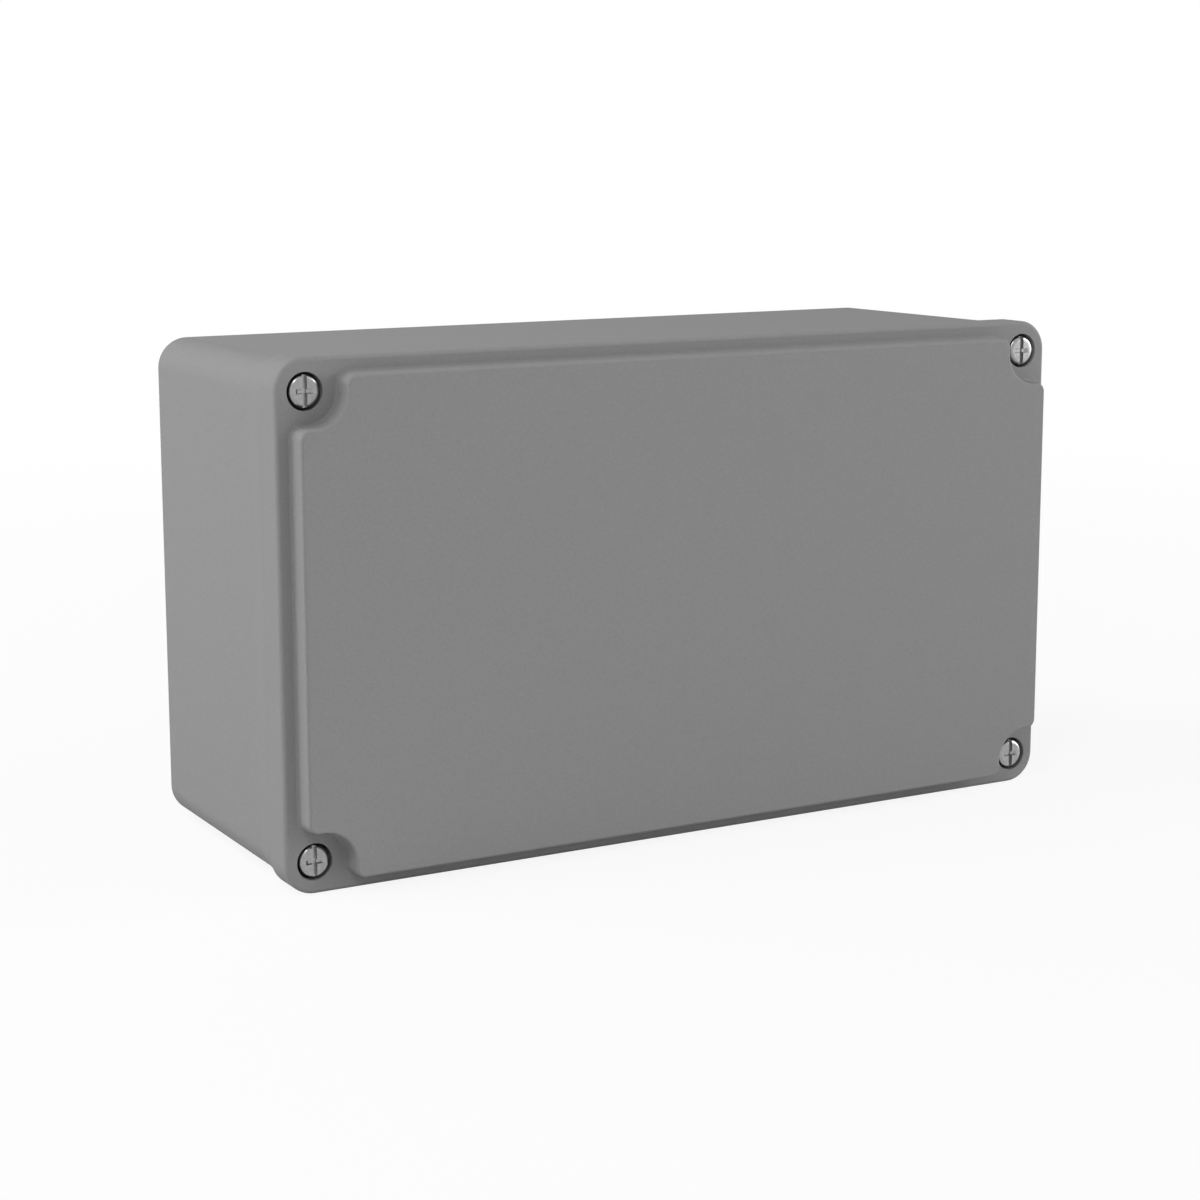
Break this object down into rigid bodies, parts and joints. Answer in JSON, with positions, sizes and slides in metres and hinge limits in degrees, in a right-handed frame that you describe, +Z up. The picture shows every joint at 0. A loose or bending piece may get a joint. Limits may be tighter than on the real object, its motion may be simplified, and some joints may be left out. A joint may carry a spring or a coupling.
{
  "type": "junction box",
  "caption": "Rectangular cast aluminium junction box in grey paint, with a screwed cover that has a raised panel notched round each corner screw",
  "frame": {"origin": "middle of the flat back face, which is also the centre of the four wall fixing holes", "axes": "+X along the long side, +Z up with the box on its long side, -Y out of the cover, +Y out of the back"},
  "size_m": [0.25, 0.098, 0.1424],
  "materials": {
    "grey_paint": "fine textured grey powder coat on cast aluminium",
    "seal_rubber": "matt black rubber",
    "stainless_steel": "bright stainless steel",
    "zinc_steel": "zinc plated steel",
    "nickel_brass": "turned brass"
  },
  "bodies": {
    "base": {"enclosure_body": "grey_paint"},
    "cover": {"enclosure_cover": "grey_paint", "cover_gasket": "seal_rubber"},
    "washer_top_left": {"sealing_washer_top_left": "seal_rubber"},
    "screw_top_left": {"cover_screw_top_left": "stainless_steel"},
    "washer_top_right": {"sealing_washer_top_right": "seal_rubber"},
    "screw_top_right": {"cover_screw_top_right": "stainless_steel"},
    "washer_bottom_left": {"sealing_washer_bottom_left": "seal_rubber"},
    "screw_bottom_left": {"cover_screw_bottom_left": "stainless_steel"},
    "washer_bottom_right": {"sealing_washer_bottom_right": "seal_rubber"},
    "screw_bottom_right": {"cover_screw_bottom_right": "stainless_steel"},
    "body_earth_clamp": {"body_earth_clamp_plate": "nickel_brass"},
    "body_earth_screw": {"body_earth_screw": "zinc_steel"},
    "cover_earth_clamp": {"cover_earth_clamp_plate": "nickel_brass"},
    "cover_earth_screw": {"cover_earth_screw": "zinc_steel"}
  },
  "joints": [
    {"name": "cover_lift", "type": "slide", "parent": "base", "child": "cover", "axis": [0, -1, 0], "range_m": [0, 0.06]},
    {"name": "screw_top_left_rise", "type": "slide", "parent": "cover", "child": "washer_top_left", "axis": [0, -1, 0], "range_m": [0, 0.0096]},
    {"name": "screw_top_left_turn", "type": "hinge", "parent": "washer_top_left", "child": "screw_top_left", "pos_m": [-0.11645, -0.0882, 0.0624], "axis": [0, -1, 0], "range_deg": [0, 4320.1]},
    {"name": "screw_top_right_rise", "type": "slide", "parent": "cover", "child": "washer_top_right", "axis": [0, -1, 0], "range_m": [0, 0.0096]},
    {"name": "screw_top_right_turn", "type": "hinge", "parent": "washer_top_right", "child": "screw_top_right", "pos_m": [0.11645, -0.0882, 0.0624], "axis": [0, -1, 0], "range_deg": [0, 4320.1]},
    {"name": "screw_bottom_left_rise", "type": "slide", "parent": "cover", "child": "washer_bottom_left", "axis": [0, -1, 0], "range_m": [0, 0.0096]},
    {"name": "screw_bottom_left_turn", "type": "hinge", "parent": "washer_bottom_left", "child": "screw_bottom_left", "pos_m": [-0.11645, -0.0882, -0.0624], "axis": [0, -1, 0], "range_deg": [0, 4320.1]},
    {"name": "screw_bottom_right_rise", "type": "slide", "parent": "cover", "child": "washer_bottom_right", "axis": [0, -1, 0], "range_m": [0, 0.0096]},
    {"name": "screw_bottom_right_turn", "type": "hinge", "parent": "washer_bottom_right", "child": "screw_bottom_right", "pos_m": [0.11645, -0.0882, -0.0624], "axis": [0, -1, 0], "range_deg": [0, 4320.1]},
    {"name": "body_earth_screw_rise", "type": "slide", "parent": "base", "child": "body_earth_clamp", "axis": [0, -1, 0], "range_m": [0, 0.009]},
    {"name": "body_earth_screw_turn", "type": "hinge", "parent": "body_earth_clamp", "child": "body_earth_screw", "pos_m": [-0.101, -0.0115, 0], "axis": [0, -1, 0], "range_deg": [0, 4050.1]},
    {"name": "cover_earth_screw_rise", "type": "slide", "parent": "cover", "child": "cover_earth_clamp", "axis": [0, 1, 0], "range_m": [0, 0.007]},
    {"name": "cover_earth_screw_turn", "type": "hinge", "parent": "cover_earth_clamp", "child": "cover_earth_screw", "pos_m": [-0.105, -0.089, 0], "axis": [0, 1, 0], "range_deg": [0, 3600.1]}
  ],
  "couplings": [
    {"joint": "screw_top_left_turn", "follows": "screw_top_left_rise", "rad_per_m": 7854},
    {"joint": "screw_top_right_turn", "follows": "screw_top_right_rise", "rad_per_m": 7854},
    {"joint": "screw_bottom_left_turn", "follows": "screw_bottom_left_rise", "rad_per_m": 7854},
    {"joint": "screw_bottom_right_turn", "follows": "screw_bottom_right_rise", "rad_per_m": 7854},
    {"joint": "body_earth_screw_turn", "follows": "body_earth_screw_rise", "rad_per_m": 7854},
    {"joint": "cover_earth_screw_turn", "follows": "cover_earth_screw_rise", "rad_per_m": 8976}
  ]
}
